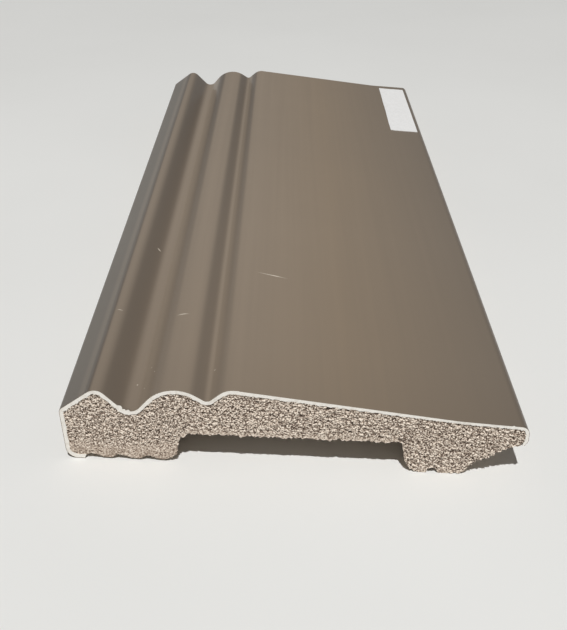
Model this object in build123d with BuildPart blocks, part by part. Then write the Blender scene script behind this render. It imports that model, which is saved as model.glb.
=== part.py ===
from build123d import *
import os
from math import asin, atan2, cos, hypot, radians, sin, sqrt, tan

# Skirting board, lying on its back. X is its width, with the moulded edge at -X and the
# thin edge at +X, Y is its length, and the heel and the narrow foot stand on Z = 0.
# A foam core carries a hard coat on its face, and a paper label is stuck near one corner.
# The far end is cut square, and the near end a little askew, longest at the thin edge.

# Overall size
board_length = 201.7
board_width = 80.0
board_thickness = 15.4
near_cut_angle = 2.4

# Coat
coat_thickness = 0.7
plain_coat_thickness = 0.5
nose_coat_thickness = 0.55
lip_coat_thickness = 0.3

# Moulded edge, from the heel up to the shoulder
heel_inset = 0.5
heel_radius = 2.2
shoulder_height = 9.55
shoulder_radius = 1.0

# Beads and hollows in turn, each spaced from the one before it, the first from the moulded
# edge. Drops and depths are below the top of the inner bead, which is the board's thickness.
outer_bead_place = 6.4
outer_bead_drop = 1.1
outer_bead_radius = 2.2
cove_spacing = 5.8
cove_depth = 5.05
cove_radius = 2.1
middle_bead_spacing = 7.9
middle_bead_drop = 0.45
middle_bead_radius = 6.5
quirk_spacing = 5.3
quirk_depth = 2.4
quirk_radius = 1.0
inner_bead_spacing = 4.5
inner_bead_radius = 3.6

# Thin edge: the face dips a little where its margin begins, and ends in a rounded nose
margin_width = 12.5
margin_hollow = 0.42
margin_radius = 40.0
nose_height = 10.45
nose_radius = 1.5
chin_height = 7.75
chin_radius = 1.2
lip_tuck = 0.6
lip_height = 6.5

# Back: hollow bevel, narrow foot, recess and wide foot, from the thin edge to the moulded edge
bevel_width = 8.9
bevel_bend_place = 3.5
bevel_bend_height = 5.75
bevel_bend_fillet = 8.0
bevel_foot_height = 2.4
bevel_foot_fillet = 1.5
narrow_foot_flare = 1.5
narrow_foot_width = 9.65
narrow_foot_lean = 1.15
narrow_foot_outer_fillet = 3.4
narrow_foot_inner_fillet = 2.8
recess_depth = 6.1
recess_fillet = 1.4
wide_foot_width = 19.5
wide_foot_lean = 1.15
wide_foot_setback = 0.45
wide_foot_fillet = 1.2

# Grooves in the feet. The wide foot is waved: each groove runs out into a rounded land with a
# narrow flat, measured from the groove to the middle of that flat.
groove_count = 3
groove_place = 4.9
groove_pitch = 5.0
groove_radius = 1.1
groove_height = 1.1
land_spacing = 2.85
land_flat = 0.8
land_radius = 1.4
narrow_groove_place = 4.3
narrow_groove_radius = 1.05
narrow_groove_height = 1.1

# Label
label_width = 8.2
label_length = 44.8
label_thickness = 0.12
label_edge_gap = 1.6
label_end_gap = 3.1

left = -board_width / 2
right = board_width / 2


def flank_room(crown, hollow):
    """The share of their radii that two neighbours can have with a straight flank between them."""
    run, rise, radii = hollow[0] - crown[0], crown[1] - hollow[1], crown[2] - hollow[2]
    return (run**2 + rise**2) / (2 * rise * radii)


def touch_points(rounds):
    """The ends of the straight flanks between rounds, as a belt leaves and meets its pulleys."""
    points = []
    for (x1, z1, r1), (x2, z2, r2) in zip(rounds, rounds[1:]):
        heading = atan2(z2 - z1, x2 - x1) - asin((r1 - r2) / hypot(x2 - x1, z2 - z1))
        outward = Vector(-sin(heading), cos(heading))
        points += [Vector(x1, z1) + outward * r1, Vector(x2, z2) + outward * r2]
    return points


def lay_line(rounds):
    """Draw the flanks and the arcs of a face line, and return its two ends."""
    points = touch_points(rounds)
    for start, end in zip(points[0::2], points[1::2]):
        Line(start, end)
    for (x, z, radius), start, end in zip(rounds[1:-1], points[1::2], points[2::2]):
        if radius:
            RadiusArc(start, end, radius)
    return points[0], points[-1]


# Beads and hollows: place, height and radius, negative in a hollow, each radius no larger
# than the room beside it
outer_bead_x = left + outer_bead_place
cove_x = outer_bead_x + cove_spacing
middle_bead_x = cove_x + middle_bead_spacing
quirk_x = middle_bead_x + quirk_spacing
inner_bead_x = quirk_x + inner_bead_spacing
outer_bead = (outer_bead_x, board_thickness - outer_bead_drop, outer_bead_radius)
cove = (cove_x, board_thickness - cove_depth, -cove_radius)
middle_bead = (middle_bead_x, board_thickness - middle_bead_drop, middle_bead_radius)
quirk = (quirk_x, board_thickness - quirk_depth, -quirk_radius)
inner_bead = (inner_bead_x, board_thickness, inner_bead_radius)
rooms = [
    flank_room(outer_bead, cove),
    flank_room(middle_bead, cove),
    flank_room(middle_bead, quirk),
    flank_room(inner_bead, quirk),
]
moulding = []
for i, (x, z, radius) in enumerate((outer_bead, cove, middle_bead, quirk, inner_bead)):
    eased = radius * min([1.0] + [0.98 * room for room in rooms[max(i - 1, 0) : i + 1]])
    moulding.append((x, z - eased, eased, coat_thickness))

# Margin: a wide hollow, sunk below the straight run from the inner bead to the nose
inner_top = Vector(inner_bead_x, board_thickness)
face_run = Vector(right - nose_radius, nose_height) - inner_top
margin_top = inner_top + face_run * ((right - margin_width - inner_top.X) / face_run.X)
margin = margin_top + Vector(-face_run.Y, face_run.X).normalized() * (margin_radius - margin_hollow)

# Grooves and lands of the wide foot, from the recess to the tail of the coat: place, height and
# radius, negative in a groove
wave_room = flank_room(
    (0, groove_height, groove_radius),
    (groove_pitch - land_spacing - land_flat / 2, wide_foot_setback, -land_radius),
)
wave_groove = groove_radius * min(1.0, 0.98 * wave_room)
wave_land = land_radius * min(1.0, 0.98 * wave_room)
groove_z = groove_height - wave_groove
land_z = wide_foot_setback + wave_land
last_groove_x = left + groove_place + (groove_count - 1) * groove_pitch
wave_rounds = [(last_groove_x + land_spacing + land_flat / 2, wide_foot_setback, 0)]
for i in reversed(range(groove_count)):
    groove_x = left + groove_place + i * groove_pitch
    if i < groove_count - 1:
        wave_rounds.append((groove_x + land_spacing + land_flat / 2, land_z, wave_land))
    wave_rounds.append((groove_x + land_spacing - land_flat / 2, land_z, wave_land))
    wave_rounds.append((groove_x, groove_z, -wave_groove))
outer_tail_x = groove_x - sqrt(wave_groove**2 - groove_z**2)
inner_tail_x = groove_x - sqrt(wave_groove**2 - (coat_thickness - groove_z) ** 2)

# Rounds of the face line from the heel to the lip of the thin edge: centre, radius (zero at
# an end) and the coat's thickness there
face_rounds = [
    (outer_tail_x, 0, 0, coat_thickness),
    (left + heel_inset + heel_radius, heel_radius, heel_radius, coat_thickness),
    (left + shoulder_radius, shoulder_height, shoulder_radius, coat_thickness),
    *moulding,
    (margin.X, margin.Y, -margin_radius, plain_coat_thickness),
    (right - nose_radius, nose_height - nose_radius, nose_radius, nose_coat_thickness),
    (right - chin_radius, chin_height, chin_radius, nose_coat_thickness),
    (right - lip_tuck, lip_height, 0, lip_coat_thickness),
]
outer_rounds = [(x, z, radius) for x, z, radius, coat in face_rounds]
inner_rounds = [
    (x, z, max(radius - coat, 0) if radius > 0 else radius - coat) for x, z, radius, coat in face_rounds
]
inner_rounds[0] = (inner_tail_x, 0, -coat_thickness)

# Corners of the back, from the thin edge
bevel_bend = (right - bevel_bend_place, bevel_bend_height)
bevel_foot = (right - bevel_width, bevel_foot_height)
narrow_foot_outer = (bevel_foot[0] - narrow_foot_flare, 0)
narrow_foot_inner = (narrow_foot_outer[0] - narrow_foot_width, 0)
recess_right = (narrow_foot_inner[0] - narrow_foot_lean, recess_depth)
wide_foot_inner = (left + wide_foot_width, wide_foot_setback)
recess_left = (wide_foot_inner[0] + wide_foot_lean, recess_depth)

# Groove of the narrow foot
narrow_groove = (narrow_foot_inner[0] + narrow_groove_place, narrow_groove_height - narrow_groove_radius)

# Near end: the plane of the saw cut
near_cut = Plane(
    origin=(right, -board_length / 2, 0),
    z_dir=(tan(radians(near_cut_angle)), 1, 0),
)

# Foam core: lies under the coat and closes along the bevel, the narrow foot, the recess and
# the wide foot, with grooves along both feet
with BuildPart() as foam_core:
    with BuildSketch(Plane.XZ):
        with BuildLine():
            core_tail, core_lip = lay_line(inner_rounds)
            FilletPolyline(
                core_lip,
                bevel_bend,
                bevel_foot,
                narrow_foot_outer,
                narrow_foot_inner,
                recess_right,
                recess_left,
                wide_foot_inner,
                wave_rounds[0][:2],
                radius=[
                    bevel_bend_fillet,
                    bevel_foot_fillet,
                    narrow_foot_outer_fillet,
                    narrow_foot_inner_fillet,
                    recess_fillet,
                    recess_fillet,
                    wide_foot_fillet,
                ],
            )
            wave_start, wave_end = lay_line(wave_rounds)
            ThreePointArc(wave_end, (groove_x, groove_height), core_tail)
        make_face()
        with Locations(narrow_groove):
            Circle(narrow_groove_radius, mode=Mode.SUBTRACT)
    extrude(amount=board_length / 2, both=True)
    split(bisect_by=near_cut, keep=Keep.TOP)
foam_core.part.label = "foam_core"

# Coat: the band between the face line and the same line sunk by the coat's thickness, with
# its tail under the heel ending at the first groove
with BuildPart() as face_coat:
    with BuildSketch(Plane.XZ):
        with BuildLine():
            outer_tail, outer_lip = lay_line(outer_rounds)
            inner_tail, inner_lip = lay_line(inner_rounds)
            Line(outer_tail, inner_tail)
            Line(outer_lip, inner_lip)
        make_face()
    extrude(amount=board_length / 2, both=True)
    split(bisect_by=near_cut, keep=Keep.TOP)
face_coat.part.label = "face_coat"

# Label: flat on the margin of the face, by the far corner of the thin edge
margin_start, margin_end = touch_points(outer_rounds[-4:-2])
margin_run = margin_end - margin_start
label_plane = Plane(
    origin=(margin_end.X, board_length / 2, margin_end.Y),
    x_dir=(margin_run.X, 0, margin_run.Y),
    z_dir=(-margin_run.Y, 0, margin_run.X),
)
with BuildPart() as paper_label:
    with BuildSketch(label_plane):
        with Locations((nose_radius - label_edge_gap, -label_end_gap)):
            Rectangle(label_width, label_length, align=(Align.MAX, Align.MAX))
    extrude(amount=label_thickness)
paper_label.part.label = "paper_label"

os.makedirs("parts", exist_ok=True)
for piece in (foam_core, face_coat, paper_label):
    export_step(piece.part, f"parts/{piece.part.label}.step")
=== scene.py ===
import bpy
import numpy as np
from mathutils import Matrix


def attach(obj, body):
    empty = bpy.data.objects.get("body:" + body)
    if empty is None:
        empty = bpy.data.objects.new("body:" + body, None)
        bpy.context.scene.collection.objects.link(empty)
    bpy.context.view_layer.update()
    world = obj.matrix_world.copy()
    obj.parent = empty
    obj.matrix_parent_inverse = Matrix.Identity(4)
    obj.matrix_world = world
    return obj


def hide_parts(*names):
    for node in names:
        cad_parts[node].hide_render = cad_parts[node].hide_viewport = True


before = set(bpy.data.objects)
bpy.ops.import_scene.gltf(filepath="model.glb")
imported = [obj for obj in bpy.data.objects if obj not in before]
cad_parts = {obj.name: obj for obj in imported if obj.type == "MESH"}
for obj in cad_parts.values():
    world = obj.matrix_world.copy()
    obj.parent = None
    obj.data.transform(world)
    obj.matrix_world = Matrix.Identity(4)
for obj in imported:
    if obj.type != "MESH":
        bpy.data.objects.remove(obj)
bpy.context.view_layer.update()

# Foam core
# The body of the board is rigid polystyrene foam, run through a die with its feet, recess and grooves and
# then sawn to length. The saw opens the cells on both ends and tears the rims that no coat covers.

# Sizes are in millimetres, in the frame of the solids. The near end is sawn a little askew.
millimetre = 0.001
board_length, half_width, near_cut_angle = 201.7, 40.0, 2.4
near_corner, far_end = -board_length / 2, board_length / 2
near_slope = np.tan(np.radians(near_cut_angle))

# Rounds of the face from under the heel, over the three beads, to the lip of the thin edge: centre, radius
# (negative in a hollow, zero at an end) and the thickness of the coat there. The margin's wide hollow is sunk
# below the straight run from the inner bead to the nose.
inner_bead_top, nose_top = np.array([-10.1, 15.4]), np.array([38.5, 10.45])
margin_place, margin_hollow, margin_radius = 27.5, 0.42, 40.0
main_coat, plain_coat, nose_coat, lip_coat = 0.7, 0.5, 0.55, 0.3
face_run = nose_top - inner_bead_top
face_up = np.array([-face_run[1], face_run[0]]) / np.hypot(*face_run)
margin_dip = inner_bead_top + face_run * (margin_place - inner_bead_top[0]) / face_run[0]
margin_centre = margin_dip + face_up * (margin_radius - margin_hollow)
face_rounds = np.array([
    (-36.2, 0.0, 0.0, main_coat),
    (-37.3, 2.2, 2.2, main_coat),
    (-39.0, 9.55, 1.0, main_coat),
    (-33.6, 12.1, 2.2, main_coat),
    (-27.8, 12.45, -2.1, main_coat),
    (-19.9, 8.45, 6.5, main_coat),
    (-14.6, 14.0, -1.0, main_coat),
    (-10.1, 11.8, 3.6, main_coat),
    (*margin_centre, -margin_radius, plain_coat),
    (38.5, 8.95, 1.5, nose_coat),
    (38.8, 7.75, 1.2, nose_coat),
    (39.4, 6.5, 0.0, lip_coat),
])

# Rounds of the waved wide foot from the recess to the tail of the coat: lands in pairs, with a flat between
# the two, and grooves
land, groove = (1.85, 1.4), (0.0, -1.1)
wave_rounds = np.array([
    (-21.85, 0.45, 0.0),
    (-22.65, *land),
    (-25.1, *groove),
    (-26.85, *land),
    (-27.65, *land),
    (-30.1, *groove),
    (-31.85, *land),
    (-32.65, *land),
    (-35.1, *groove),
])
tail_groove_centre, tail_groove_radius = wave_rounds[-1, :2], -wave_rounds[-1, 2]
narrow_groove_x, narrow_groove_z, narrow_groove_radius = 24.25, 0.05, 1.05

# Corners of the back from the wide foot to the bevel, each with the radius that rounds it
back_bends = np.array([
    (-20.5, 0.45, 1.2),
    (-19.35, 6.1, 1.4),
    (18.8, 6.1, 1.4),
    (19.95, 0.0, 2.8),
    (29.6, 0.0, 3.4),
    (31.1, 2.4, 1.5),
    (36.5, 5.75, 8.0),
])
back_corners, back_radii = back_bends[:, :2], back_bends[:, 2]


def belt_flanks(rounds):
    """Straight flanks between rounds, as a belt runs over pulleys: each flank heads along the line of
    centres, less the angle whose sine is the difference of the two radii over their distance, and it leaves
    and meets the rounds square to its heading."""
    centre, radius = rounds[:, :2], rounds[:, 2]
    way = np.diff(centre, axis=0)
    lean = np.arcsin((radius[:-1] - radius[1:]) / np.hypot(*way.T))
    heading = np.unwrap(np.arctan2(way[:, 1], way[:, 0])) - lean
    outward = np.stack([-np.sin(heading), np.cos(heading)], 1)
    leave = centre[:-1] + outward * radius[:-1, None]
    meet = centre[1:] + outward * radius[1:, None]
    return centre, radius, heading, leave, meet


def belt_line(flanks, place):
    """Points of a belt: a place from 2k to 2k+1 runs along flank k, and one from 2k+1 to 2k+2 turns about
    round k+1, where the point is the centre plus the radius square to a heading that changes evenly."""
    centre, radius, heading, leave, meet = flanks
    flank = np.minimum(place // 2, len(leave) - 1).astype(int)
    share = (place - 2 * flank)[:, None]
    turned = np.minimum(flank + 1, len(leave) - 1)
    angle = heading[flank] + (heading[turned] - heading[flank]) * (share[:, 0] - 1)
    square = np.stack([-np.sin(angle), np.cos(angle)], 1)
    on_flank = leave[flank] + (meet[flank] - leave[flank]) * share
    on_arc = centre[flank + 1] + radius[flank + 1, None] * square
    return np.where(share <= 1, on_flank, on_arc)


def belt_places(flanks, pitch):
    """Places along a whole belt, spaced by about the pitch on each flank and arc in turn, three or more."""
    centre, radius, heading, leave, meet = flanks
    lengths = np.zeros(2 * len(leave) - 1)
    lengths[0::2] = np.hypot(*(meet - leave).T)
    lengths[1::2] = np.abs(radius[1:-1] * np.diff(heading))
    counts = np.maximum(np.ceil(lengths / pitch), 3).astype(int)
    return np.concatenate([k + np.arange(n) / n for k, n in enumerate(counts)] + [[len(counts)]])


def face_flanks(sink):
    """Flanks of the face line sunk by a share of the coat: the same rounds, less that share of the coat's
    thickness, and a tail that stops on the first groove of the wide foot."""
    x, z, radius, coat = face_rounds.T
    radius = np.where(radius > 0, np.maximum(radius - sink * coat, 0), radius - sink * coat)
    centre, radius, heading, leave, meet = belt_flanks(np.stack([x, z, radius], 1))
    tail_rise = leave[0, 1] - tail_groove_centre[1]
    leave[0, 0] = tail_groove_centre[0] - np.sqrt(tail_groove_radius**2 - tail_rise**2)
    return centre, radius, heading, leave, meet


def rounded_path(start, corners, radii, end):
    """A path of straight runs with an arc at each corner. An arc begins the radius times the tangent of half
    the turn before its corner, then goes on by the sine and aside by one less the cosine of its angle."""
    points = np.vstack([start, corners, end])
    runs = np.diff(points, axis=0)
    runs = runs / np.hypot(*runs.T)[:, None]
    before, after = runs[:-1], runs[1:]
    cross = before[:, 0] * after[:, 1] - before[:, 1] * after[:, 0]
    turn = np.arctan2(cross, (before * after).sum(1))
    aside = np.stack([-before[:, 1], before[:, 0]], 1) * np.sign(turn)[:, None]
    first = corners - before * (radii * np.tan(np.abs(turn) / 2))[:, None]
    angle = np.abs(turn)[:, None] * np.linspace(0, 1, 9)
    onward = before[:, None] * np.sin(angle)[..., None]
    inward = aside[:, None] * (1 - np.cos(angle))[..., None]
    arcs = first[:, None] + radii[:, None, None] * (onward + inward)
    return np.vstack([start, arcs.reshape(-1, 2), end])


def run_length(path):
    """Length along a path up to each of its points."""
    return np.concatenate([[0], np.cumsum(np.hypot(*np.diff(path, axis=0).T))])


def along(path, lengths):
    """Points at the given lengths along a path."""
    done = run_length(path)
    return np.stack([np.interp(lengths, done, path[:, 0]), np.interp(lengths, done, path[:, 1])], 1)


def ease(low, high, value):
    """A step from 0 at low to 1 at high, with the slope of a cubic that is flat at both ends."""
    t = np.clip((value - low) / (high - low), 0, 1)
    return t * t * (3 - 2 * t)


def ripple(x, z, pitch_x, pitch_z, seed, waves=72):
    """An uneven ripple with unit variance: a sum of cosines of random heading and phase, whose wave lengths
    lie round one pitch across and another upwards."""
    chance = np.random.default_rng(seed)
    heading, phase = chance.uniform(0, 2 * np.pi, (2, waves))
    size = 2 * np.pi * np.clip(chance.normal(1, 0.3, waves), 0.35, 2)
    waves_x, waves_z = np.cos(heading) * size / pitch_x, np.sin(heading) * size / pitch_z
    return np.sqrt(2 / waves) * np.cos(x[..., None] * waves_x + z[..., None] * waves_z + phase).sum(-1)


def near_cut(x):
    """Where the near saw cut stands, a little askew: longest at the thin edge."""
    return near_corner + (half_width - x) * near_slope


def between_cuts(x, share):
    """Where a share of the length lies, from the near cut to the far end."""
    return near_cut(x) + (far_end - near_cut(x)) * share


# Outline of the cut foam: a lower line from the heel along the back to the lip, and an upper line under the
# coat from the shoulder to the nose. The places are where the heel's arc ends, the shoulder's begins, the
# nose's ends and the chin's begins.
heel_end, shoulder_start, nose_end, chin_start = 2, 3, 18, 19
places = belt_places(face_flanks(0.0), 0.2)
under_coat = belt_line(face_flanks(1.0), places)
heel, chin = under_coat[places <= heel_end][::-1], under_coat[places >= chin_start][::-1]
upper_line = under_coat[(places >= shoulder_start) & (places <= nose_end)]
wave_flanks = belt_flanks(wave_rounds)
wave = belt_line(wave_flanks, belt_places(wave_flanks, 0.1))[::-1]
groove_ends = np.stack([heel[-1], wave[0]]) - tail_groove_centre
groove_turn = np.linspace(*np.arctan2(groove_ends[:, 1], groove_ends[:, 0]), 12)[1:-1]
groove_way = np.stack([np.cos(groove_turn), np.sin(groove_turn)], 1)
tail_groove = tail_groove_centre + tail_groove_radius * groove_way

# The narrow foot's groove is a round roof that falls off steeply beside it, joined to the back by a soft
# maximum: half the sum of the two heights and of the root of their difference squared plus the blend squared
roof_fall, roof_blend = 4, 0.1
back = rounded_path(wave_rounds[0, :2], back_corners, back_radii, chin[0])
back = along(back, np.arange(0, run_length(back)[-1], 0.05))
aside = np.abs(back[:, 0] - narrow_groove_x)
roof = narrow_groove_z + np.sqrt(np.maximum(narrow_groove_radius**2 - aside**2, 0))
roof = roof - roof_fall * np.maximum(aside - narrow_groove_radius, 0)
back[:, 1] = (back[:, 1] + roof + np.sqrt((back[:, 1] - roof) ** 2 + roof_blend**2)) / 2
lower_line = np.vstack([heel, tail_groove, wave, back[1:], chin])

# Columns join the two lines, fanned out at the first five corners of the back
columns, rows = 520, 76
fan_places = np.array([-23, -17, 16, 22.5, 29.5])
lower = along(lower_line, np.linspace(0, run_length(lower_line)[-1], columns))
corner_gaps = lower - back_corners[: len(fan_places), None]
knots = np.argmin(np.hypot(corner_gaps[..., 0], corner_gaps[..., 1]), axis=1)
upper_done = run_length(upper_line)
upper_knots = upper_done[np.argmin(np.abs(upper_line[:, 0] - fan_places[:, None]), axis=1)]
upper = along(
    upper_line,
    np.interp(np.arange(columns), [0, *knots, columns - 1], [0, *upper_knots, upper_done[-1]]),
)
rise = np.linspace(0, 1, rows)
flat_end = lower[:, None] * (1 - rise)[:, None] + upper[:, None] * rise[:, None]
column_height = np.hypot(*(upper - lower).T)

# Torn rims: the way out of the foam along the lower line, and how ragged each stretch of it is. The wide foot
# is the smoothest, the recess the most ragged, and the narrow foot's groove is smoother than its lands.
lower_x, lower_done = lower[:, 0], run_length(lower)
travel = np.gradient(lower, axis=0)
rim_out = np.stack([travel[:, 1], -travel[:, 0]], 1) / np.hypot(*travel.T)[:, None]
bare_rim = ease(-36.2, -35.4, lower_x) * ease(39.0, 38.3, lower_x)
recess_rim = ease(-19.6, -18.8, lower_x) * ease(19.4, 18.6, lower_x)
ragged = bare_rim * (0.2 + 0.8 * ease(-21.0, -19.8, lower_x) + 0.4 * recess_rim)
ragged *= 0.35 + 0.65 * ease(1.2, 1.8, np.abs(lower_x - narrow_groove_x))

# Crumbs that hang from the near rim, and bites out of it at two corners: place, half width, reach
rim_crumbs = [
    ((-19.1, 6.1), 0.75, 0.6),
    ((-8.7, 6.1), 0.55, 0.5),
    ((-19.55, 5.0), 0.22, 0.24),
    ((-19.85, 3.8), 0.25, 0.34),
    ((-20.1, 2.6), 0.2, 0.26),
    ((-20.25, 1.9), 0.2, 0.3),
    ((-20.75, 0.6), 0.85, -0.4),
    ((-20.7, 0.8), 0.18, 0.3),
    ((6.4, 6.1), 0.4, 0.28),
    ((18.5, 5.7), 0.9, -0.3),
    ((23.1, 0.2), 0.25, 0.15),
    ((33.6, 3.9), 0.35, 0.25),
    ((35.4, 5.1), 0.3, 0.22),
]


def torn_rim(seed):
    """How far the rim stands out from the die's line: two uneven ripples along it, a long and a short one,
    each times how ragged the rim is there."""
    level = np.zeros(columns)
    long_tears = 0.06 * ripple(lower_done, level, 1.9, 1, seed)
    short_tears = 0.075 * ripple(lower_done, level, 0.75, 1, seed + 1)
    return ragged * (long_tears + short_tears)


def crumbs_on_rim(crumbs):
    """How far crumbs hang from the rim: a flattened bell curve along it for each, centred where the rim is
    nearest to the crumb's place."""
    reach = np.zeros(columns)
    for place, half_breadth, hang in crumbs:
        nearest = np.argmin(np.hypot(*(lower - place).T))
        reach += hang * np.exp(-(((lower_done - lower_done[nearest]) / half_breadth) ** 4))
    return reach


# Larger voids on the near end: place, half width, half height and how much painted shade darkens them
near_voids = [
    ((6.0, 12.4), 0.45, 0.3, 0.55),
    ((6.3, 10.7), 0.65, 0.3, 0.5),
    ((-35.0, 5.2), 0.45, 0.35, 0.4),
    ((-38.6, 3.2), 0.4, 0.3, 0.4),
    ((-22.1, 11.1), 0.4, 0.3, 0.35),
    ((9.4, 12.1), 0.35, 0.2, 0.4),
    ((17.4, 11.3), 0.3, 0.25, 0.3),
]


def void_share(x, z, voids):
    """Painted shade of the larger voids at each point: a bell curve across and upwards for each."""
    share = np.zeros_like(x)
    for place, half_breadth, half_height, dark in voids:
        share += dark * np.exp(-(((x - place[0]) / half_breadth) ** 2) - ((z - place[1]) / half_height) ** 2)
    return share


def cut_cells(x, z, height, seed):
    """Depth and painted shade of the opened cells on a cut end, and how close they are. Large and small cells
    are two uneven ripples added up, and the painted shade darkens their pits. Low in the wide foot, over the
    recess and under the narrow foot the foam is closer: its cells are shallow and drawn sideways. The rim
    that no coat covers is paler."""
    wide_foot = ease(4.6, 1.8, z) * ease(-19.0, -20.5, x)
    recess_roof = ease(1.6, 0.1, height) * ease(-20.5, -19, x) * ease(19.5, 18, x)
    narrow_foot = ease(1.6, 0.2, z) * ease(19, 20, x)
    close = np.clip(wide_foot + 0.7 * recess_roof + 0.4 * narrow_foot, 0, 1)
    open_cells = 0.6 * ripple(x, z, 1.3, 1.0, seed) + 0.8 * ripple(x, z, 0.52, 0.45, seed + 1)
    drawn_cells = 0.7 * ripple(x, z, 0.7, 0.45, seed + 2) + 0.5 * ripple(x, z, 2.4, 0.8, seed + 3)
    cells = (1 - close) * open_cells + close * 0.5 * drawn_cells
    pale_rim = ease(0.7, 0.1, height) * ease(-21, -19.5, x) * ease(38.5, 37, x)
    thin_side = ease(18, 21, x)
    depth = np.clip(0.15 + 0.12 * cells, 0, 0.5) * (1 - 0.5 * close)
    dark = 0.52 + 0.18 * cells + 0.03 * close - 0.16 * pale_rim + 0.035 * thin_side
    return depth, np.clip(dark, 0, 1), close


def foam_end(tear, voids, seed):
    """One cut end as a grid of columns and rows: the flat section, with its rim torn, a tear fading upwards,
    and its cells and voids sunk. Nothing goes below the floor."""
    height = column_height[:, None] * rise
    reach = ease(1.4, 0.0, height) * tear[:, None]
    section = flat_end + rim_out[:, None] * reach[..., None]
    x, z = section[..., 0], np.maximum(section[..., 1], 0.0)
    depth, dark, close = cut_cells(x, z, height, seed)
    empty = void_share(x, z, voids)
    return x, z, depth + 0.6 * empty, np.clip(dark + empty, 0, 1), close


near_tear, far_tear = torn_rim(3) + crumbs_on_rim(rim_crumbs), torn_rim(40)
near_x, near_z, near_depth, near_cell_shade, near_close = foam_end(near_tear, near_voids, 13)
far_x, far_z, far_depth, far_cell_shade, far_close = foam_end(far_tear, [], 50)
near_points = np.dstack([near_x, near_cut(near_x) + near_depth, near_z])
far_points = np.dstack([far_x, far_end - far_depth, far_z])

# The sides carry the outline of the ends along the length. Next to each end they take on its torn rim.
edge = np.concatenate([
    np.stack([np.arange(columns), np.zeros(columns, int)], 1),
    np.stack([np.full(rows - 2, columns - 1), np.arange(1, rows - 1)], 1),
    np.stack([np.arange(columns)[::-1], np.full(columns, rows - 1)], 1),
    np.stack([np.zeros(rows - 2, int), np.arange(1, rows - 1)[::-1]], 1),
])
column_at, row_at = edge.T
tear_fade, tear_shift = 0.7, 2
from_near = np.array([0.45, 1.1, 2.6, 7.0, 30.0, 100.0, 170.0, 194.0, 198.5, 200.4, 201.2])
near_share, far_share = np.exp(-from_near / tear_fade), np.exp(-(board_length - from_near) / tear_fade)
side_tear = near_share[:, None] * np.roll(near_tear, tear_shift)
side_tear = side_tear + far_share[:, None] * np.roll(far_tear, tear_shift)
side_tear = np.pad(side_tear, ((0, 0), (0, len(edge) - columns)))
side_out = np.pad(rim_out, ((0, len(edge) - columns), (0, 0)))
side = flat_end[column_at, row_at] + side_out * side_tear[..., None]
side_y = between_cuts(side[..., 0], (from_near / board_length)[:, None])
side_points = np.dstack([side[..., 0], side_y, np.maximum(side[..., 1], 0.0)])


def grid_quads(index):
    """Four corners of each cell of a grid of vertex numbers, in turn along its first and second axis."""
    return np.stack([index[:-1, :-1], index[1:, :-1], index[1:, 1:], index[:-1, 1:]], -1).reshape(-1, 4)


def build_piece(name, points, quads, finishes, finish_index=None):
    """A mesh object from points in millimetres and quads, linked at the origin with its finishes."""
    mesh = bpy.data.meshes.new(name)
    mesh.vertices.add(len(points))
    mesh.vertices.foreach_set("co", (points * millimetre).astype(np.float32).ravel())
    mesh.loops.add(quads.size)
    mesh.loops.foreach_set("vertex_index", quads.astype(np.int32).ravel())
    mesh.polygons.add(len(quads))
    mesh.polygons.foreach_set("loop_start", np.arange(0, quads.size, 4, dtype=np.int32))
    for finish in finishes:
        mesh.materials.append(finish)
    if finish_index is not None:
        mesh.polygons.foreach_set("material_index", finish_index.astype(np.int32))
    mesh.update(calc_edges=True)
    mesh.set_sharp_from_angle(angle=np.radians(40))
    piece = bpy.data.objects.new(name, mesh)
    bpy.context.scene.collection.objects.link(piece)
    return piece


def write_share(piece, name, values):
    """Keep one number for each vertex of a piece, under a name that its finish reads."""
    share = piece.data.attributes.new(name, "FLOAT", "POINT")
    share.data.foreach_set("value", values.astype(np.float32))


def feed(finish, target, inputs):
    """Set or link the inputs of a node, given by name or number."""
    for key, value in inputs.items():
        if isinstance(value, bpy.types.NodeSocket):
            finish.node_tree.links.new(value, target.inputs[key])
        else:
            target.inputs[key].default_value = value


def node(finish, kind, settings=None, inputs=None):
    """A shader node with its settings; an input is a value or the socket that feeds it."""
    new = finish.node_tree.nodes.new(kind)
    for key, value in (settings or {}).items():
        setattr(new, key, value)
    feed(finish, new, inputs or {})
    return new


def new_finish(name):
    """A material with an empty node tree, its surface shader and its output."""
    finish = bpy.data.materials.new(name)
    finish.use_nodes = True
    finish.node_tree.nodes.clear()
    surface = node(finish, "ShaderNodeBsdfPrincipled")
    node(finish, "ShaderNodeOutputMaterial", inputs={"Surface": surface.outputs["BSDF"]})
    return finish, surface


def read_share(finish, name):
    """The number that a piece keeps for each vertex under a name."""
    return node(finish, "ShaderNodeAttribute", {"attribute_name": name}).outputs["Fac"]


def grain(finish, scale, detail=2.0, stretch=(1, 1, 1)):
    """Noise on Object coordinates, stretched by a Mapping node; scale is in waves per metre."""
    place = node(finish, "ShaderNodeTexCoord").outputs["Object"]
    place = node(finish, "ShaderNodeMapping", inputs={"Vector": place, "Scale": stretch}).outputs["Vector"]
    inputs = {"Vector": place, "Scale": scale, "Detail": detail, "Roughness": 0.5}
    return node(finish, "ShaderNodeTexNoise", inputs=inputs).outputs["Fac"]


def spread(finish, value, low, high, to_low, to_high):
    """Map a value from one range to another and clamp it."""
    inputs = {"Value": value, "From Min": low, "From Max": high, "To Min": to_low, "To Max": to_high}
    return node(finish, "ShaderNodeMapRange", inputs=inputs).outputs["Result"]


def reckon(finish, operation, first, second):
    """The sum, product or larger of two values."""
    return node(finish, "ShaderNodeMath", {"operation": operation}, {0: first, 1: second}).outputs[0]


def tint(finish, share, first, second, blend="MIX"):
    """Mix of two colours by a share."""
    settings = {"data_type": "RGBA", "blend_type": blend}
    return node(finish, "ShaderNodeMix", settings, {0: share, 6: first, 7: second}).outputs[2]


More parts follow.
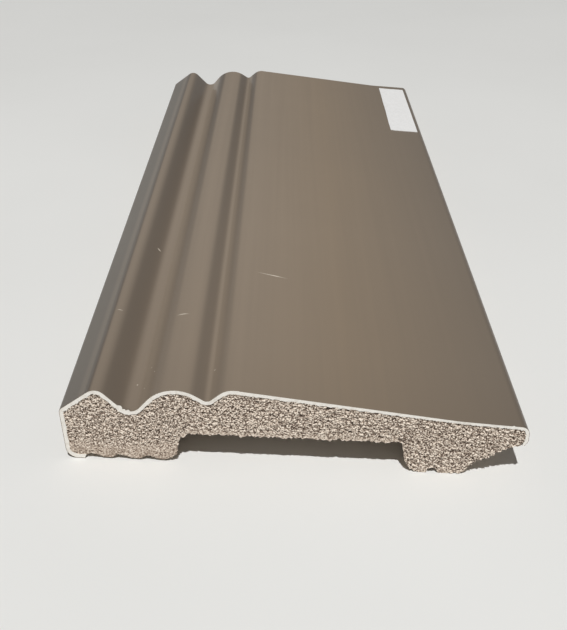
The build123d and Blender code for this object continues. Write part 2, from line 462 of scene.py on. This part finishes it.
def ramp(finish, share, stops):
    """Colour by a share: straight blends between stops, which run from the lowest place to the highest."""
    new = node(finish, "ShaderNodeValToRGB", inputs={"Fac": share})
    elements = new.color_ramp.elements
    elements[0].position, elements[0].color = stops[0]
    elements[1].position, elements[1].color = stops[-1]
    for place, tone in stops[1:-1]:
        elements.new(place).color = tone
    return new.outputs["Color"]


def relief(finish, height, strength, distance, invert=False):
    """Bump from a height; distance is in metres."""
    inputs = {"Height": height, "Strength": strength, "Distance": distance}
    return node(finish, "ShaderNodeBump", {"invert": invert}, inputs).outputs["Normal"]


# Foam finish: pale beige walls on the cut ends, with painted shade in their cells and crumbs, and a skin with
# # drawn lines on the back
wall_tone, thin_wall_tone = (0.84, 0.745, 0.635, 1), (0.61, 0.51, 0.42, 1)
shaded_cell_tone, deep_cell_shade_tone = (0.35, 0.27, 0.21, 1), (0.115, 0.082, 0.062, 1)
drawn_skin_tone, pale_skin_tone = (0.455, 0.38, 0.31, 1), (0.57, 0.49, 0.415, 1)
foam_finish, foam_surface = new_finish("cut_foam")
crumbs = grain(foam_finish, 3600, 1, (1, 1, 1.5))
# Fine crumbs: a bump, and painted shade added to the cells' share, larger where the cells are open
crumb_shade = spread(foam_finish, crumbs, 0.25, 0.75, -0.5, 0.5)
crumb_shade_size = spread(foam_finish, read_share(foam_finish, "close_cells"), 0, 1, 2.3, 0.85)
crumb_shade = reckon(foam_finish, "MULTIPLY", crumb_shade, crumb_shade_size)
cell_shade_share = reckon(foam_finish, "ADD", read_share(foam_finish, "cell_painted_shade"), crumb_shade)
# Stops from the pale wall through painted shade to the deepest pits
cell_stops = [(0.08, wall_tone), (0.4, thin_wall_tone), (0.66, shaded_cell_tone), (0.92, deep_cell_shade_tone)]
cut_tone = ramp(foam_finish, cell_shade_share, cell_stops)
skin_lines = spread(foam_finish, grain(foam_finish, 900, 3, (1, 0.02, 1)), 0.35, 0.65, 0, 1)
skin_tone = tint(foam_finish, skin_lines, drawn_skin_tone, pale_skin_tone)
foam_looks = {
    "Base Color": tint(foam_finish, read_share(foam_finish, "die_skin"), cut_tone, skin_tone),
    "Roughness": spread(foam_finish, grain(foam_finish, 1500), 0.3, 0.7, 0.78, 0.95),
    "Normal": relief(foam_finish, crumbs, 0.6, 0.0002, True),
    "Specular IOR Level": 0.25,
}
feed(foam_finish, foam_surface, foam_looks)

# The two ends and the sides share the vertices of each end's edge
end_count, side_count = columns * rows, side_points[..., 0].size
near_index = np.arange(end_count).reshape(columns, rows)
far_index = near_index + end_count
side_index = 2 * end_count + np.arange(side_count).reshape(side_points.shape[:2])
loops = np.vstack([near_index[column_at, row_at], side_index, far_index[column_at, row_at]])
loops = np.hstack([loops, loops[:, :1]])
foam_points = np.vstack([points.reshape(-1, 3) for points in (near_points, far_points, side_points)])
foam_quads = np.vstack([grid_quads(near_index), grid_quads(far_index)[:, ::-1], grid_quads(loops)])
foam_core = build_piece("foam_core_cut", foam_points, foam_quads, [foam_finish])
for name, near_value, far_value, side_value in (
    ("cell_painted_shade", near_cell_shade, far_cell_shade, 0.0),
    ("close_cells", near_close, far_close, 1.0),
    ("die_skin", np.zeros_like(near_cell_shade), np.zeros_like(far_cell_shade), 1.0),
):
    values = [near_value.ravel(), far_value.ravel(), np.full(side_count, side_value)]
    write_share(foam_core, name, np.concatenate(values))
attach(foam_core, "root")
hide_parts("foam_core")

# Face coat
# A hard white coat is run over the foam from under the heel to the lip of the thin edge, and carries a thin
# satin grey-brown film on its outside. The saw cut shows both as lines round the foam.

# Layers of the coat as shares of its thickness, of which the film is the first, and stations along the length
film_share = 0.12
layer_sinks = np.array([0.0, film_share, 0.45, 0.75, 1.0])
layers = np.stack([belt_line(face_flanks(sink), places) for sink in layer_sinks])
outer_line, film_line, inner_line = layers[0], layers[1], layers[-1]
face_x, face_z = outer_line.T
coat_along = np.array([0.0, 0.4, 1.2, 4.0, 30.0, 100.0, 170.0, 197.0, 200.3, 201.3, board_length])
coat_shares = coat_along / board_length

# Small burrs that the saw leaves on the coat's outer line: place across, half width, height
burrs = [
    (-29.4, 0.3, 0.38),
    (-28.7, 0.22, 0.26),
    (-28.05, 0.28, 0.34),
    (-9.3, 0.22, 0.12),
    (37.2, 0.18, 0.15),
]
burr_level = 8
out_of_coat = outer_line - inner_line
out_of_coat = out_of_coat / np.hypot(*out_of_coat.T)[:, None]
outer_done = run_length(outer_line)


def coat_points(section, share):
    """Points of a section line set at a share of the length between the two cuts."""
    x, z = section[..., 0], section[..., 1]
    return np.stack([x, between_cuts(x, share), z], -1)


def sawn_line(line, raised):
    """A line of the coat's end moved square to the coat by the given heights."""
    return line + out_of_coat * raised[:, None]


def burr_height():
    """Height of the burrs along the outer line: a flattened bell curve across for each, on the face side
    only, and never higher than the inner bead."""
    bells = [height * np.exp(-(((face_x - place) / reach) ** 4)) for place, reach, height in burrs]
    return np.where(face_z > burr_level, np.minimum(np.sum(bells, axis=0), inner_bead_top[1] - face_z), 0)


def inner_wander(seed):
    """How far the coat's inner line runs into the foam at a cut: two uneven ripples, never outwards."""
    level = np.zeros(len(places))
    long_wander = 0.05 * ripple(outer_done, level, 1.7, 1, seed)
    short_wander = 0.05 * ripple(outer_done, level, 0.6, 1, seed + 1)
    return -np.maximum(0.05 + long_wander + short_wander, 0)


# The band round the section at each station: the outer line to the lip, then the inner line back to the tail
sections = np.repeat(np.vstack([outer_line, inner_line[::-1]])[None], len(coat_along), axis=0)
near_inner, far_inner = sawn_line(inner_line, inner_wander(60)), sawn_line(inner_line, inner_wander(70))
sections[0] = np.vstack([sawn_line(outer_line, burr_height()), near_inner[::-1]])
sections[-1] = np.vstack([outer_line, far_inner[::-1]])
band_points = np.stack([coat_points(section, share) for section, share in zip(sections, coat_shares)])
cap_sections = np.stack([layers[1:-1], layers[1:-1]])
cap_sections[0, 0] = sawn_line(film_line, burr_height())
cap_points = np.stack([coat_points(section, share) for section, share in zip(cap_sections, (0.0, 1.0))])

# A cap closes each end, from the outer line over the inner layers to the inner line. The film covers the
# outside and the first layer of each cap, and the rest shows the white coat.
line_count, band_count, cap_count = len(places), band_points[..., 0].size, cap_points[..., 0].size
band_index = np.arange(band_count).reshape(band_points.shape[:2])
cap_index = band_count + np.arange(cap_count).reshape(cap_points.shape[:3])
near_cap, far_cap = (
    np.vstack([band_index[station, :line_count], cap_index[station], band_index[station, line_count:][::-1]])
    for station in (0, -1)
)
band_loops = np.hstack([band_index, band_index[:, :1]])
coat_quads = np.vstack([grid_quads(band_loops.T), grid_quads(near_cap), grid_quads(far_cap)[:, ::-1]])
outside = np.repeat(np.arange(2 * line_count) < line_count - 1, len(coat_along) - 1)
cap_film = np.repeat(np.arange(len(layer_sinks) - 1) == 0, line_count - 1)
coat_finish_index = np.concatenate([~outside, ~cap_film, ~cap_film])

# Film finish: satin with a weak gloss, in tones that change across the face with painted light in the cove
# and
# # painted shade towards the margin, painted shade darker and greyer on the chamfer and in bands over flanks
# and
# # edges, painted shade growing towards the near end and darker still by the near cut, with faint lines along
# the
# # length, drier patches, and scratches down to a paler layer
bead_tone, crown_tone = (0.288, 0.233, 0.179, 1), (0.264, 0.214, 0.165, 1)
cove_lit_tone, plain_tone = (0.365, 0.297, 0.229, 1), (0.296, 0.237, 0.179, 1)
middle_tone, margin_shade_tone = (0.277, 0.215, 0.153, 1), (0.195, 0.159, 0.123, 1)
# Painted shade tones: darker and greyer on the chamfer, and darker in the bands over flanks and edges
chamfer_shade_tone, band_shade_tone = (0.138, 0.119, 0.096, 1), (0.10, 0.081, 0.064, 1)
line_tone, patch_tone = (0.16, 0.13, 0.10, 1), (0.18, 0.15, 0.12, 1)
# Painted shade towards the near end, and a further darkening by the near cut
near_shade_tone, cut_darkening_tone = (0.89, 0.88, 0.865, 1), (0.95, 0.95, 0.95, 1)
scratch_tone = (0.74, 0.66, 0.55, 1)
# Tones across the face: the bead tone, with painted light in the cove and painted shade from the plain face
# to the margin
film_places = [
    (-half_width, bead_tone),
    (-35.2, bead_tone),
    (-34.4, crown_tone),
    (-33.0, crown_tone),
    (-32.0, bead_tone),
    (-27.6, bead_tone),
    (-25.9, cove_lit_tone),
    (-24.4, bead_tone),
    (-10.0, plain_tone),
    (9.6, middle_tone),
    (half_width, margin_shade_tone),
]
film_stops = [((place + half_width) / (2 * half_width), tone) for place, tone in film_places]
film_finish, film_surface = new_finish("satin_film")
film_place = node(film_finish, "ShaderNodeTexCoord").outputs["Object"]
film_axes = node(film_finish, "ShaderNodeSeparateXYZ", inputs={"Vector": film_place}).outputs
across_face = spread(film_finish, film_axes["X"], -half_width * millimetre, half_width * millimetre, 0, 1)
# Painted shade growing towards the near end
near_shade = spread(film_finish, film_axes["Y"], -30 * millimetre, -100 * millimetre, 0, 1)
# Darker still in the last 16 mm by the near cut
cut_darkening = spread(film_finish, film_axes["Y"], -84 * millimetre, -100 * millimetre, 0, 1)
film_patches = grain(film_finish, 30, 3)
line_share = spread(film_finish, grain(film_finish, 700, 2, (1, 0.012, 1)), 0.3, 0.7, 0, 0.12)
patch_share = spread(film_finish, film_patches, 0.35, 0.7, 0, 0.1)
film_tone = ramp(film_finish, across_face, film_stops)
film_tone = tint(film_finish, read_share(film_finish, "chamfer_shade"), film_tone, chamfer_shade_tone)
film_tone = tint(film_finish, read_share(film_finish, "band_painted_shade"), film_tone, band_shade_tone)
film_tone = tint(film_finish, near_shade, film_tone, near_shade_tone, "MULTIPLY")
film_tone = tint(film_finish, cut_darkening, film_tone, cut_darkening_tone, "MULTIPLY")
film_tone = tint(film_finish, line_share, film_tone, line_tone)
film_tone = tint(film_finish, patch_share, film_tone, patch_tone)

# Scratches: middle, half length, half width in millimetres and turn in degrees. Each is an oval that runs
# through the whole thickness.
scratches = [
    ((-4.2, -54.3), 3.6, 0.13, -12.4),
    ((-3.6, -54.4), 1.6, 0.22, -12.4),
    ((-21.0, -71.7), 1.25, 0.17, 1.0),
    ((-33.4, -69.4), 0.7, 0.1, -13.7),
    ((-29.8, -36.0), 0.5, 0.3, -40.0),
    ((-27.55, -89.85), 0.18, 0.16, 0.0),
    ((-25.95, -92.5), 0.14, 0.13, 0.0),
    ((-24.4, -89.65), 0.13, 0.12, 0.0),
    ((-25.35, -86.75), 0.15, 0.14, 0.0),
    ((-13.8, -89.2), 0.16, 0.18, 0.0),
]
through = 1000
scratched = 0.0
for (x, y), half_length, half_breadth, turn in scratches:
    oval = {
        "Vector": film_place,
        "Location": (x * millimetre, y * millimetre, 0),
        "Rotation": (0, 0, np.radians(turn)),
        "Scale": (half_length * millimetre, half_breadth * millimetre, through),
    }
    local = node(film_finish, "ShaderNodeMapping", {"vector_type": "TEXTURE"}, oval).outputs["Vector"]
    away = node(film_finish, "ShaderNodeVectorMath", {"operation": "LENGTH"}, {0: local}).outputs["Value"]
    scratched = reckon(film_finish, "MAXIMUM", scratched, spread(film_finish, away, 0.3, 1.0, 1, 0))
film_looks = {
    "Base Color": tint(film_finish, scratched, film_tone, scratch_tone),
    "Roughness": spread(film_finish, film_patches, 0.3, 0.7, 0.46, 0.54),
    "Normal": relief(film_finish, grain(film_finish, 1400), 0.06, 0.0001),
    "IOR": 1.4,
    "Coat Weight": 0.4,
    "Coat Roughness": 0.25,
    "Coat IOR": 1.4,
}
feed(film_finish, film_surface, film_looks)

# Coat finish: dull white, a little soiled by saw dust
white_tone, dust_tone = (0.835, 0.80, 0.74, 1), (0.63, 0.575, 0.50, 1)
coat_finish, coat_surface = new_finish("white_coat")
dust = spread(coat_finish, grain(coat_finish, 1100, 3), 0.5, 0.75, 0, 0.6)
coat_looks = {
    "Base Color": tint(coat_finish, dust, white_tone, dust_tone),
    "Roughness": spread(coat_finish, grain(coat_finish, 900), 0.3, 0.7, 0.5, 0.7),
    "Normal": relief(coat_finish, grain(coat_finish, 3000), 0.3, 0.0001),
}
feed(coat_finish, coat_surface, coat_looks)

coat_all = np.vstack([band_points.reshape(-1, 3), cap_points.reshape(-1, 3)])
face_coat = build_piece("face_coat_film", coat_all, coat_quads, [film_finish, coat_finish], coat_finish_index)

# Bands of painted shade on the film, over an edge, a flank or the wall of a hollow: place across, half width,
# # share and how much the share grows from the middle of the board to its far end
shade_bands = [
    (-34.9, 0.52, 0.84, 0.0),
    (-30.75, 2.05, 0.69, 0.25),
    (-27.2, 1.5, 0.07, -1.0),
    (-23.4, 1.05, 0.47, 0.75),
    (-16.05, 1.3, 0.6, 0.3),
    (-12.45, 0.85, 0.42, 0.75),
    (39.5, 0.9, 0.35, 0.0),
]
# Painted shade on the chamfer: places across and how much of the chamfer's shade tone
chamfer_places, chamfer_shade_levels = [-36.9, -36.2, -35.2, -34.8], [1, 0.67, 0.67, 0]


def band_shade_share():
    """How much painted shade the film's bands lay, by station and along the outer line: a flattened bell
    curve across for each, on the face only, that grows evenly from the near end to the far end."""
    far_way = 2 * coat_shares - 1
    shares = np.zeros((len(coat_along), line_count))
    for place, reach, share, growth in shade_bands:
        shares += share * np.outer(1 + growth * far_way, np.exp(-(((face_x - place) / reach) ** 4)))
    return ease(8, 9, face_z) * np.clip(shares, 0, 1)


def chamfer_shade_share():
    """How much painted shade, darker and greyer, lies on the film along the outer line: wholly low on the
    chamfer, less at its top, none past it.
    """
    line_grey = ease(9.0, 10.2, face_z) * np.interp(face_x, chamfer_places, chamfer_shade_levels)
    return np.tile(line_grey, (len(coat_along), 1))


for name, outer_share in (("band_painted_shade", band_shade_share()), ("chamfer_shade", chamfer_shade_share())):
    band_share = np.hstack([outer_share, np.zeros_like(outer_share)])
    write_share(face_coat, name, np.concatenate([band_share.ravel(), np.zeros(cap_count)]))
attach(face_coat, "root")
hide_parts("face_coat")

# Paper label
# A plain narrow sticker of white paper, stuck on the margin of the face by the far corner of the thin edge.
# It is pressed down by hand, so that its long inner edge stands a hair off the film.

# The sheet lies on the margin's straight flank, which ends at the nose, and is measured across from there
label_width, label_length, label_thickness = 8.2, 44.8, 0.12
label_edge_gap, label_end_gap, nose_radius = 1.6, 3.1, 1.5
margin_flank = 8
margin_start, margin_end = (ends[margin_flank] for ends in face_flanks(0.0)[3:])
margin_way = (margin_end - margin_start) / np.hypot(*(margin_end - margin_start))
margin_up = np.array([-margin_way[1], margin_way[0]])
label_edge, label_end = nose_radius - label_edge_gap, far_end - label_end_gap
across = np.linspace(label_edge - label_width, label_edge, 25)
lengthwise = np.linspace(label_end - label_length, label_end, 90)
across_grid, length_grid = np.meshgrid(across, lengthwise, indexing="ij")

# How far the paper stands off: most along its inner edge, by an uneven ripple lengthwise, and a hair all over
edge_lift, most_lift, paper_wave = 0.10, 0.2, 0.012
inner_edge = ease(-6.7, -8.3, across_grid)
uneven = 0.6 + 0.4 * ripple(np.zeros_like(length_grid), length_grid, 1, 21.0, 5, 12)
waviness = 1 + np.clip(ripple(across_grid, length_grid, 6.0, 9.0, 6), -1, 1)
lift = np.clip(edge_lift * inner_edge * uneven, 0, most_lift) + paper_wave * waviness


def label_sheet(height):
    """The sheet at a height over the margin: across the slope of the face, and along its length."""
    x = margin_end[0] + margin_way[0] * across_grid + margin_up[0] * (height + lift)
    z = margin_end[1] + margin_way[1] * across_grid + margin_up[1] * (height + lift)
    return np.dstack([x, length_grid, z]).reshape(-1, 3)


# Paper finish: matt white with fine fibres
shaded_paper_tone, paper_tone = (0.79, 0.782, 0.768, 1), (0.87, 0.862, 0.85, 1)
label_finish, label_surface = new_finish("matt_paper")
fibres = grain(label_finish, 1600, 4)
fibre_share = spread(label_finish, fibres, 0.3, 0.7, 0, 1)
label_looks = {
    "Base Color": tint(label_finish, fibre_share, shaded_paper_tone, paper_tone),
    "Roughness": spread(label_finish, fibres, 0.3, 0.7, 0.65, 0.8),
    "Normal": relief(label_finish, fibres, 0.2, 0.0001),
}
feed(label_finish, label_surface, label_looks)

label_top = np.arange(across_grid.size).reshape(across_grid.shape)
label_under = label_top + across_grid.size
rim = np.concatenate([label_top[:, 0], label_top[-1, 1:], label_top[::-1, -1][1:], label_top[0, ::-1][1:]])
rim_walls = np.stack([rim + across_grid.size, rim], 1)
label_quads = np.vstack([grid_quads(label_top), grid_quads(label_under)[:, ::-1], grid_quads(rim_walls)])
label_points = np.vstack([label_sheet(label_thickness), label_sheet(0.0)])
paper_label = build_piece("paper_label_sheet", label_points, label_quads, [label_finish])
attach(paper_label, "root")
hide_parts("paper_label")

# Floor, light and camera
# The board lies on a pale matt surface, lit by one small lamp in front of it, high up, and by soft light from
# all round. The camera looks along the board from its near end.

shaded_floor_tone, floor_tone = (0.77, 0.768, 0.745, 1), (0.80, 0.798, 0.775, 1)
floor_finish, floor_surface = new_finish("pale_floor")
floor_cloud = spread(floor_finish, grain(floor_finish, 9, 3), 0.3, 0.7, 0, 1)
floor_looks = {"Base Color": tint(floor_finish, floor_cloud, shaded_floor_tone, floor_tone), "Roughness": 0.6}
feed(floor_finish, floor_surface, floor_looks)
floor_radius, floor_steps, floor_drop = 1800, 24, 0.05
floor_u, floor_v = np.meshgrid(*[np.linspace(-1, 1, floor_steps)] * 2, indexing="ij")


def floor_disc():
    """A round sheet from a square grid: each side times the root of one less half the other squared."""
    x = floor_radius * floor_u * np.sqrt(1 - floor_v**2 / 2)
    y = floor_radius * floor_v * np.sqrt(1 - floor_u**2 / 2)
    return np.dstack([x, y, np.full_like(x, -floor_drop)]).reshape(-1, 3)


floor_quads = grid_quads(np.arange(floor_steps**2).reshape(floor_steps, floor_steps))
floor = build_piece("floor", floor_disc(), floor_quads, [floor_finish])


def set_up(name, data, place, axes):
    """A lamp or camera at a place in metres, with its right, up and backward axes as columns."""
    new = bpy.data.objects.new(name, data)
    new.matrix_world = Matrix.Translation(place) @ Matrix(np.stack(axes, 1).tolist()).to_4x4()
    bpy.context.scene.collection.objects.link(new)
    return new


key_way, key_distance = np.array([-0.01, 0.49, -0.87]), 3.5
key_way = key_way / np.linalg.norm(key_way)
key_side = np.cross(key_way, (0, 0, 1))
key_side = key_side / np.linalg.norm(key_side)
key = bpy.data.lights.new("key", "AREA")
key.shape, key.size, key.energy = "DISK", 0.1, 119.0
set_up("key", key, -key_way * key_distance, [key_side, np.cross(-key_way, key_side), -key_way])

world = bpy.data.worlds.new("soft_light")
bpy.context.scene.world = world
world.use_nodes = True
world.node_tree.nodes.clear()
soft_tone, backdrop_tone = (0.105, 0.105, 0.105, 1), (1, 1, 0.985, 1)
soft_sky = node(world, "ShaderNodeBackground", inputs={"Color": soft_tone, "Strength": 1.0}).outputs[0]

# Backdrop for the camera and for reflections: pale low down and grey above, and no light on the object
sky_way = node(world, "ShaderNodeTexCoord").outputs["Generated"]
sky_height = node(world, "ShaderNodeSeparateXYZ", inputs={"Vector": sky_way}).outputs["Z"]
backdrop_level = spread(world, sky_height, 0, 0.12, 0.58, 0.12)
backdrop_inputs = {"Color": backdrop_tone, "Strength": backdrop_level}
backdrop = node(world, "ShaderNodeBackground", inputs=backdrop_inputs).outputs[0]
rays = node(world, "ShaderNodeLightPath").outputs
seen = reckon(world, "MAXIMUM", rays["Is Camera Ray"], rays["Is Glossy Ray"])
seen = reckon(world, "MAXIMUM", seen, rays["Is Transmission Ray"])
sky = node(world, "ShaderNodeMixShader", inputs={0: seen, 1: soft_sky, 2: backdrop}).outputs["Shader"]
node(world, "ShaderNodeOutputWorld", inputs={"Surface": sky})

# The camera's focal length is in pixels of the photograph, and its turns are in radians
photo_height, focal, sensor_height = 630, 987.43, 36.0
camera_place = (-0.002698, -0.237069, 0.106509)
pitch, yaw, roll = 0.5052, 0.0055, -0.0207
forward = np.array([np.sin(yaw) * np.cos(pitch), np.cos(yaw) * np.cos(pitch), -np.sin(pitch)])
level = np.array([np.cos(yaw), -np.sin(yaw), 0.0])
down = np.cross(forward, level)
view_right = np.cos(roll) * level + np.sin(roll) * down
view_down = -np.sin(roll) * level + np.cos(roll) * down
camera = bpy.data.cameras.new("camera")
camera.sensor_fit, camera.sensor_height = "VERTICAL", sensor_height
camera.lens = focal * sensor_height / photo_height
camera.clip_start = 0.01
view = set_up("camera", camera, camera_place, [view_right, -view_down, -forward])
bpy.context.scene.camera = view
bpy.context.scene.view_settings.view_transform = "Standard"
